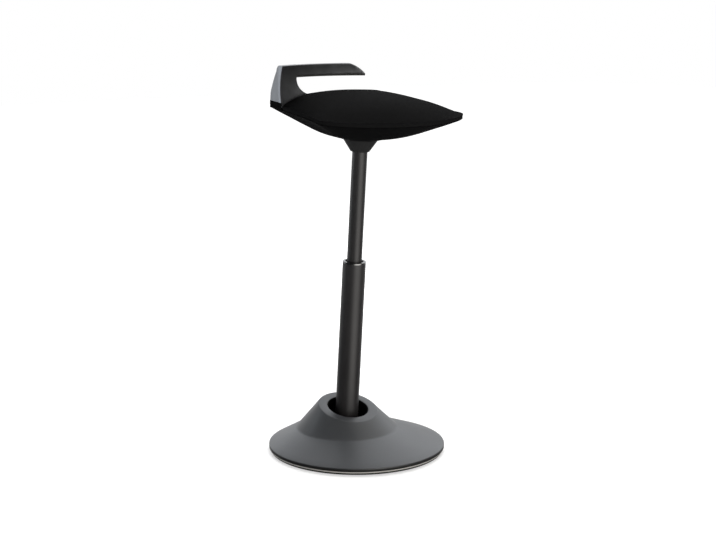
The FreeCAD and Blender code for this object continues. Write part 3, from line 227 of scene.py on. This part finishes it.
FINISHES = {
    "anti_slip_sole": sole_rubber, "edge_ring": trim_light, "base_plate": ballast,
    "base_cover": cover_grey, "collar_liner": liner_black, "cover_screws": steel,
    "joint_housing": steel, "retaining_ring": steel, "housing_bolts": steel,
    "flex_bush": elastomer, "ball_foot": steel, "tube_plug": steel, "stem_nut": steel,
    "lower_tube": tube_black, "tube_rim": rim_bright, "guide_bush": guide_black,
    "bearing_plate": steel, "thrust_bearing": steel, "piston_rod": steel, "rod_clip": steel,
    "piston": guide_black, "piston_seal": elastomer, "upper_tube": tube_black,
    "rod_guide": guide_black, "valve_body": steel, "valve_pin": steel,
    "funnel_cover": funnel_black, "seat_carrier": steel, "seat_shell": shell_black,
    "shell_screws": black_steel, "seat_board": board_wood, "board_screws": steel,
    "seat_pad": pad_cloth, "release_ring": liner_black, "guide_pins": steel,
    "return_springs": steel, "release_lever": steel, "lever_pin": steel,
    "handle": handle_metal, "grip_strip": grip_rubber, "handle_screws": black_steel,
}
for name, node in nodes.items():
    node.data.materials.clear()
    node.data.materials.append(FINISHES[name])


# Mesh helpers

def mesh_object(name, verts, faces, material, smooth=True):
    mesh = bpy.data.meshes.new(name)
    mesh.from_pydata([tuple(v) for v in verts], [], faces)
    mesh.validate()
    mesh.materials.append(material)
    for face in mesh.polygons:
        face.use_smooth = smooth
    piece = bpy.data.objects.new(name, mesh)
    bpy.context.scene.collection.objects.link(piece)
    return piece


def fix_normals(piece):
    work = bmesh.new()
    work.from_mesh(piece.data)
    bmesh.ops.recalc_face_normals(work, faces=work.faces)
    work.to_mesh(piece.data)
    work.free()


def apply_modifiers(piece):
    depsgraph = bpy.context.evaluated_depsgraph_get()
    depsgraph.update()
    result = bpy.data.meshes.new_from_object(piece.evaluated_get(depsgraph), depsgraph=depsgraph)
    piece.modifiers.clear()
    piece.data = result


def rings_mesh(name, rings, material, closed=False):
    """Joins rings of equal point counts into a skin, with both ends closed where asked."""
    count = len(rings[0])
    verts = [point for ring in rings for point in ring]
    faces = []
    for row in range(len(rings) - 1):
        start = row * count
        above = start + count
        for k in range(count):
            after = (k + 1) % count
            faces.append((start + k, start + after, above + after, above + k))
    if closed:
        faces.append(tuple(range(count)))
        faces.append(tuple(len(verts) - count + k for k in range(count)))
    piece = mesh_object(name, verts, faces, material)
    fix_normals(piece)
    return piece


# Base cover: the disc, the oblique cone and the collar, with a soft crease and eased edges

COVER_LOW = 6.9
DISC_RADIUS = 180.0
SIDE_HEIGHT = 6.7
# Height of the painted shade on the cover's side wall
PAINTED_SHADE_HEIGHT = 5.6
CREASE_RADIUS = 104.6
CREASE_BACK = 35.7
CREASE_HEIGHT = 37.4
MOUTH_RADIUS = 62.0
MOUTH_BACK = 32.0
MOUTH_HEIGHT = 79.6
BORE_RADIUS = 43.0
BORE_DEPTH = 14
TURNED_IN = 3.0
SEGMENTS = 288


def ring_of(radius, back, height, tilt=0.0):
    """A circle in millimetres about the base's middle plane, tilted about X."""
    points = []
    for k in range(SEGMENTS):
        angle = 2 * math.pi * k / SEGMENTS
        x = radius * math.cos(angle)
        y = radius * math.sin(angle)
        points.append(Vector((x, back + y * math.cos(tilt), height + y * math.sin(tilt))) * MM)
    return points


def between(low, high, share):
    return [a.lerp(b, share) for a, b in zip(low, high)]


def eased(before, corner, after, reach_before, reach_after, steps=5):
    """Rings that round a crease: a quadratic blend between points set back from the corner."""
    rings = []
    for k in range(steps + 1):
        t = k / steps
        ring = []
        for a, b, c in zip(before, corner, after):
            start = b + (a - b).normalized() * reach_before * MM
            end = b + (c - b).normalized() * reach_after * MM
            ring.append(start * (1 - t) ** 2 + b * 2 * t * (1 - t) + end * t * t)
        rings.append(ring)
    return rings


TILT = math.radians(15.7)
MOUTH_NORMAL = Vector((0, -math.sin(TILT), math.cos(TILT)))
foot = ring_of(DISC_RADIUS, 0.0, COVER_LOW)
rim_top = ring_of(DISC_RADIUS, 0.0, COVER_LOW + SIDE_HEIGHT)
crease = ring_of(CREASE_RADIUS, CREASE_BACK, CREASE_HEIGHT)
mouth = ring_of(MOUTH_RADIUS, MOUTH_BACK, MOUTH_HEIGHT, TILT)
bore_top = ring_of(BORE_RADIUS, MOUTH_BACK, MOUTH_HEIGHT, TILT)
bore_low = [point - MOUTH_NORMAL * BORE_DEPTH * MM for point in bore_top]
under = ring_of(DISC_RADIUS - TURNED_IN, 0.0, COVER_LOW)
cover_rings = [under, foot]
cover_rings += eased(foot, rim_top, crease, 1.2, 1.2)
for share in (0.2, 0.4, 0.6, 0.8):
    cover_rings.append(between(rim_top, crease, share))
cover_rings += eased(rim_top, crease, mouth, 3.5, 3.5, 7)
for share in (0.25, 0.5, 0.75):
    cover_rings.append(between(crease, mouth, share))
cover_rings += eased(crease, mouth, bore_top, 1.6, 1.6)
cover_rings.append(between(mouth, bore_top, 0.5))
cover_rings += eased(mouth, bore_top, bore_low, 0.9, 0.9)
cover_rings.append(bore_low)
cover_skin = rings_mesh("cover_skin", cover_rings, cover_grey)
# The lower side wall and the underside take the darker material: painted shade on the same grey cover
cover_skin.data.materials.append(painted_side_shade)
for face in cover_skin.data.polygons:
    if face.center.z < (COVER_LOW + PAINTED_SHADE_HEIGHT) * MM:
        face.material_index = 1
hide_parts("base_cover")
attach(cover_skin, "base")


# Seat pad: the crowned form swells in a cloth pass, then takes its seam

# Points of the seat's outline in millimetres, side and reach; the sitter's left half

HALF_TURN = math.sin(math.radians(45))
KNUCKLE_RADIUS = 9.0
FRONT_TURN = (84.0, 167.0)
TIP = (160.0, 118.0)
SHOULDER = ((84.0 + 160.0) / 2 + 4.0, (167.0 + 118.0) / 2 + 5.5)
WIDEST = (164.4, 102.0)
HIP = (162.9, 88.0)
WAIST = (149.0, 0.0)
REAR = (144.0, -108.5)
KNUCKLE = (144.0 - KNUCKLE_RADIUS * (1 - HALF_TURN), -108.5 - KNUCKLE_RADIUS * HALF_TURN)
REAR_CORNER = (135.0, -117.5)
FRONT = (0.0, 181.0)
BACK = (0.0, -123.5)


def arc_points(start, middle, end, count):
    """Points on the circle through three points, without the last one."""
    a, b, c = (Vector(p) for p in (start, middle, end))
    d = 2 * (a.x * (b.y - c.y) + b.x * (c.y - a.y) + c.x * (a.y - b.y))
    ux = (a.length_squared * (b.y - c.y) + b.length_squared * (c.y - a.y)
          + c.length_squared * (a.y - b.y)) / d
    uy = (a.length_squared * (c.x - b.x) + b.length_squared * (a.x - c.x)
          + c.length_squared * (b.x - a.x)) / d
    centre = Vector((ux, uy))
    first, second, third = (math.atan2(p.y - uy, p.x - ux) for p in (a, b, c))

    def turn(angle):
        return (angle + math.pi) % (2 * math.pi) - math.pi

    sweep = turn(second - first) + turn(third - second)
    radius = (a - centre).length
    return [centre + Vector((math.cos(first + sweep * k / count),
                             math.sin(first + sweep * k / count))) * radius for k in range(count)]


def mirrored(point):
    return (-point[0], point[1])


ARC_STEP = 4.0
run = [FRONT_TURN, SHOULDER, TIP, WIDEST, HIP, WAIST, REAR, KNUCKLE, REAR_CORNER, BACK]
run += [mirrored(p) for p in (REAR_CORNER, KNUCKLE, REAR, WAIST, HIP, WIDEST, TIP, SHOULDER, FRONT_TURN)]
run += [FRONT, FRONT_TURN]
OUTLINE = []
for k in range(0, len(run) - 1, 2):
    chord = (Vector(run[k]) - Vector(run[k + 2])).length
    OUTLINE += arc_points(run[k], run[k + 1], run[k + 2], max(4, round(chord / ARC_STEP)))

CROWN = 28.0
FULLNESS = 4.5
ROUNDING = 0.52
ROUND_RADIUS = 140.0
SKIRT = 7.5
PAD_INSET = 0.4
SKIRT_SHARES = ((0.4, 1.0), (0.8, 1.0), (0.995, 1.0), (0.999, 0.5))
CROWN_SHARES = (1.0, 0.995, 0.985, 0.97, 0.95, 0.925, 0.89, 0.85, 0.8, 0.74, 0.67, 0.59, 0.5, 0.4,
                0.3, 0.2, 0.1)


def pad_ring(share, up):
    """The outline at a share of its size, drawn towards a circle the further in it lies."""
    drawn = max(0.0, 1.0 - share) ** ROUNDING if up >= 0 else 0.0
    ring = []
    for point in OUTLINE:
        scale = share * (1 - drawn + drawn * ROUND_RADIUS / point.length) * (1 - PAD_INSET / point.length)
        ring.append(seat_point(point.x * scale, point.y * scale, up))
    return ring


pad_rings = [pad_ring(share, -SKIRT * depth) for share, depth in SKIRT_SHARES]
pad_rings += [pad_ring(share, CROWN * (1 - share ** FULLNESS)) for share in CROWN_SHARES]
pad = rings_mesh("pad_cover", pad_rings, pad_cloth, closed=True)
SWELL = 0.003
VOXEL = 0.0045
PRESSURE = 4.0
STIFFNESS = 12.0
PINNED_BELOW = 1.5
LAST_STEP = 20


def swell(piece):
    """Lets the pad swell under pressure as cloth, with a cap on how far a point moves."""
    remesh = piece.modifiers.new("remesh", "REMESH")
    remesh.mode = "VOXEL"
    remesh.voxel_size = VOXEL
    remesh.use_smooth_shade = True
    apply_modifiers(piece)
    start = [v.co.copy() for v in piece.data.vertices]
    keep = piece.vertex_groups.new(name="keep")
    inverse = COLUMN.inverted()
    for index, point in enumerate(start):
        local = inverse @ point
        if local.z < RIM - PINNED_BELOW * MM:
            keep.add([index], 1.0, "REPLACE")
    cloth = piece.modifiers.new("swell", "CLOTH")
    cloth.settings.vertex_group_mass = "keep"
    cloth.settings.use_pressure = True
    cloth.settings.uniform_pressure_force = PRESSURE
    cloth.settings.effector_weights.gravity = 0.0
    cloth.settings.tension_stiffness = STIFFNESS
    cloth.settings.compression_stiffness = STIFFNESS
    cloth.settings.quality = 4
    for step in range(1, LAST_STEP + 1):
        bpy.context.scene.frame_set(step)
    depsgraph = bpy.context.evaluated_depsgraph_get()
    swollen = piece.evaluated_get(depsgraph).data
    moved = [v.co.copy() for v in swollen.vertices]
    piece.modifiers.clear()
    bpy.context.scene.frame_set(1)
    for vertex, origin, target in zip(piece.data.vertices, start, moved):
        shift = target - origin
        if shift.length > SWELL:
            shift = shift.normalized() * SWELL
        vertex.co = origin + shift
    finer = piece.modifiers.new("finer", "SUBSURF")
    finer.levels = 1
    finer.render_levels = 1
    apply_modifiers(piece)


swell(pad)

# Where the handle's foot stands, the pad is cut to fit round it

FOOT_SIDE = -75.0
FOOT_REACH = -67.5
PAST = -300
foot_verts = []
for up in (-20.0, 90.0):
    for side, reach in ((PAST, FOOT_REACH), (FOOT_SIDE, FOOT_REACH), (FOOT_SIDE, PAST), (PAST, PAST)):
        foot_verts.append(seat_point(side, reach, up))
foot_faces = [(0, 1, 2, 3), (7, 6, 5, 4), (0, 4, 5, 1), (1, 5, 6, 2), (2, 6, 7, 3), (3, 7, 4, 0)]
foot_block = mesh_object("foot_block", foot_verts, foot_faces, pad_cloth, False)
fix_normals(foot_block)
trim = pad.modifiers.new("trim", "BOOLEAN")
trim.operation = "DIFFERENCE"
trim.solver = "EXACT"
trim.object = foot_block
apply_modifiers(pad)
bpy.data.objects.remove(foot_block)
for face in pad.data.polygons:
    face.use_smooth = True
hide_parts("seat_pad")
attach(pad, "seat")


# The pad's border and the welt along its crease, both open where the handle's foot stands

def at_foot(point):
    return point.x < FOOT_SIDE and point.y < FOOT_REACH


EDGE_START = next(k for k, point in enumerate(OUTLINE) if at_foot(point))
EDGE_LINE = [point for point in OUTLINE[EDGE_START:] + OUTLINE[:EDGE_START] if not at_foot(point)]


def edge_strip(name, profile, material):
    """A profile of (outward, up) points in millimetres, carried along the pad's outline."""
    rings = []
    for k, point in enumerate(EDGE_LINE):
        before = EDGE_LINE[max(k - 1, 0)]
        after = EDGE_LINE[min(k + 1, len(EDGE_LINE) - 1)]
        along = (after - before).normalized()
        outward = Vector((along.y, -along.x))
        if outward.dot(point) < 0:
            outward = -outward
        rings.append([seat_point(*(point + outward * out), up) for out, up in profile])
    piece = rings_mesh(name, rings, material, closed=True)
    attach(piece, "seat")
    return piece


WELT = 1.1
WELT_IN = 0.9
WELT_TURN = 110
WELT_STEPS = 8
WELT_FLANGE = [(-3.0, 0.5), (-8.0, 0.6), (-8.0, -0.6), (-3.0, -0.6)]
BORDER = [(-0.3, -0.2), (-0.4, -2.0), (-0.45, -3.8), (-0.65, -5.6), (-0.95, -7.1), (-1.4, -7.4),
          (-4.0, -7.4), (-8.0, -4.0), (-8.0, 0.0), (-3.0, 0.2)]
cord_profile = []
for step in range(WELT_STEPS + 1):
    angle = math.radians(-WELT_TURN + 2 * WELT_TURN * step / WELT_STEPS)
    cord_profile.append((-WELT_IN + WELT * math.cos(angle), WELT * math.sin(angle)))
edge_strip("pad_welt", cord_profile + WELT_FLANGE, piping_cloth)
edge_strip("pad_border", BORDER, pad_cloth)


# Dark cuff round the outer side of the handle's foot, highest at the rear corner

CUFF_FROM = -110.0
CUFF_RUN = 24.0
CUFF_LOW = -2.2
CUFF_TOP = -2.0
CUFF_RISE = 8.0
cuff_rings = []
for point in OUTLINE:
    if point.x >= CUFF_FROM or point.y >= FOOT_REACH:
        continue
    share = min(1.0, max(0.0, (CUFF_FROM - point.x) / CUFF_RUN))
    top = CUFF_TOP + CUFF_RISE * share ** 0.5
    ring = []
    for out, up in ((-0.6, CUFF_LOW), (0.5, CUFF_LOW), (0.5, top - 0.6), (0.1, top), (-0.6, top)):
        scale = 1 + out / point.length
        ring.append(seat_point(point.x * scale, point.y * scale, up))
    cuff_rings.append(ring)
cuff = rings_mesh("foot_cuff", cuff_rings, shell_black, closed=True)
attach(cuff, "seat")


# Soft edges on the cast and moulded pieces

def soften(name, width):
    """A weld and a bevel as modifiers, so the node's own mesh stays as it is."""
    node = nodes[name]
    weld = node.modifiers.new("weld", "WELD")
    weld.merge_threshold = 0.00002
    edge = node.modifiers.new("edge", "BEVEL")
    edge.width = width * MM
    edge.segments = 3
    edge.limit_method = "ANGLE"
    edge.angle_limit = math.radians(35.0)
    edge.use_clamp_overlap = True
    edge.harden_normals = False


for name, width in (("handle", 1.8), ("seat_shell", 1.0), ("funnel_cover", 0.8), ("grip_strip", 0.8),
                    ("edge_ring", 0.4), ("anti_slip_sole", 0.8), ("release_ring", 0.5)):
    soften(name, width)


# Stage: pale floor, plain backdrop and soft studio light

def plain(name, colour, emission=0.0):
    material = new_material(name, colour, 0.9)
    shader = material.node_tree.nodes["Principled BSDF"]
    shader.inputs["Specular IOR Level"].default_value = 0.0
    if emission:
        shader.inputs["Emission Color"].default_value = (1, 1, 1, 1)
        shader.inputs["Emission Strength"].default_value = emission
    return material


floor_white = plain("floor_white", (0.50, 0.50, 0.50), 0.50)
floor_place = add_node(floor_white, "ShaderNodeTexCoord")
floor_reach = add_node(floor_white, "ShaderNodeVectorMath", operation="LENGTH")
floor_glow = add_node(floor_white, "ShaderNodeMapRange", interpolation_type="SMOOTHSTEP")
for socket, value in (("From Min", 0.2), ("From Max", 1.6), ("To Min", 0.50), ("To Max", 1.0)):
    floor_glow.inputs[socket].default_value = value
connect(floor_white, floor_place, "Object", floor_reach, "Vector")
connect(floor_white, floor_reach, "Value", floor_glow, "Value")
connect(floor_white, floor_glow, "Result", floor_white.node_tree.nodes["Principled BSDF"],
        "Emission Strength")
floor = mesh_object("floor", [(-9, -9, 0), (9, -9, 0), (9, 9, 0), (-9, 9, 0)], [(0, 1, 2, 3)],
                    floor_white, False)
floor.visible_glossy = False
dome_work = bmesh.new()
bmesh.ops.create_uvsphere(dome_work, u_segments=48, v_segments=24, radius=12.0)
bmesh.ops.reverse_faces(dome_work, faces=dome_work.faces)
dome_mesh = bpy.data.meshes.new("backdrop")
dome_work.to_mesh(dome_mesh)
dome_work.free()
backdrop = bpy.data.objects.new("backdrop", dome_mesh)
bpy.context.scene.collection.objects.link(backdrop)
dome_mesh.materials.append(plain("backdrop_white", (0, 0, 0), 1.0))
backdrop.visible_glossy = False
backdrop.visible_diffuse = False
backdrop.visible_shadow = False

LEFT = -RIGHT
BACKWARD = Vector((AHEAD.x, AHEAD.y, 0)).normalized()
UP = Vector((0, 0, 1))
COOL = (0.91, 0.96, 1.02)
centre = UP * 0.4
world = bpy.data.worlds.new("studio")
bpy.context.scene.world = world
world.use_nodes = True
sky = world.node_tree.nodes["Background"]


def toward(direction, inner, outer, low, high):
    """A value that runs from high within the inner angle about a direction to low beyond the outer."""
    facing = add_node(world, "ShaderNodeVectorMath", operation="DOT_PRODUCT")
    facing.inputs[1].default_value = Vector(direction).normalized()
    connect(world, sky_place, "Generated", facing, "Vector")
    fade = add_node(world, "ShaderNodeMapRange", interpolation_type="SMOOTHSTEP")
    for socket, value in (("From Min", math.cos(math.radians(outer))),
                          ("From Max", math.cos(math.radians(inner))), ("To Min", low), ("To Max", high)):
        fade.inputs[socket].default_value = value
    connect(world, facing, "Value", fade, "Value")
    return fade


def scaled(colour, *shares):
    """A colour times one or more values."""
    result = add_node(world, "ShaderNodeVectorMath", operation="SCALE")
    result.inputs[0].default_value = colour
    connect(world, shares[0], "Result", result, "Scale")
    for share in shares[1:]:
        again = add_node(world, "ShaderNodeVectorMath", operation="SCALE")
        world.node_tree.links.new(result.outputs["Vector"], again.inputs[0])
        connect(world, share, "Result", again, "Scale")
        result = again
    return result


sky_place = add_node(world, "ShaderNodeTexCoord")
glows = [
    scaled((1.0, 1.0, 1.0), toward(BACKWARD, 30, 84, 0.0, 0.7), toward(UP, 50, 66, 1.0, 0.06),
           toward(-UP, 60, 78, 1.0, 0.05)),
    scaled(COOL, toward(BACKWARD * 0.778 + RIGHT * 0.314 + UP * 0.545, 8, 24, 0.0, 1.05)),
    scaled(COOL, toward(BACKWARD * 0.875 - RIGHT * 0.235 + UP * 0.423, 6, 20, 0.0, 0.75)),
    scaled((1.0, 0.96, 0.90), toward(BACKWARD * 0.369 + RIGHT * 0.439 + UP * 0.819, 10, 38, 0.0, 0.6)),
    scaled((1.0, 0.97, 0.93), toward(RIGHT * 0.588 - BACKWARD * 0.809 - UP * 0.12, 14, 44, 0.0, 2.0)),
    scaled((0.035, 0.035, 0.037), toward(UP, 0, 180, 1.0, 1.0))]
total = glows[0]
for glow in glows[1:]:
    summed = add_node(world, "ShaderNodeVectorMath", operation="ADD")
    world.node_tree.links.new(total.outputs["Vector"], summed.inputs[0])
    world.node_tree.links.new(glow.outputs["Vector"], summed.inputs[1])
    total = summed
connect(world, total, "Vector", sky, "Color")


def softbox(name, where, target, width, height, power, colour=(1, 1, 1)):
    lamp = bpy.data.lights.new(name, "AREA")
    lamp.shape = "RECTANGLE"
    lamp.size = width
    lamp.size_y = height
    lamp.energy = power
    lamp.color = colour
    light = bpy.data.objects.new(name, lamp)
    light.location = where
    aim = Vector(target) - Vector(where)
    light.rotation_euler = aim.to_track_quat("-Z", "Y").to_euler()
    bpy.context.scene.collection.objects.link(light)
    return light


top_light = softbox("top", centre + BACKWARD * 1.6 + UP * 2.2, centre, 2.6, 2.0, 132)
top_light.visible_glossy = False
softbox("left", centre + LEFT * 2.4 + BACKWARD * 0.6 + UP * 0.6, centre, 1.0, 2.0, 11, (0.90, 0.95, 1.0))
softbox("front", centre - BACKWARD * 2.6 - LEFT * 1.6 + UP * 0.9, centre, 0.7, 1.6, 24, (1.0, 0.97, 0.92))

bpy.context.scene.view_settings.view_transform = "Standard"
bpy.context.scene.view_settings.look = "None"
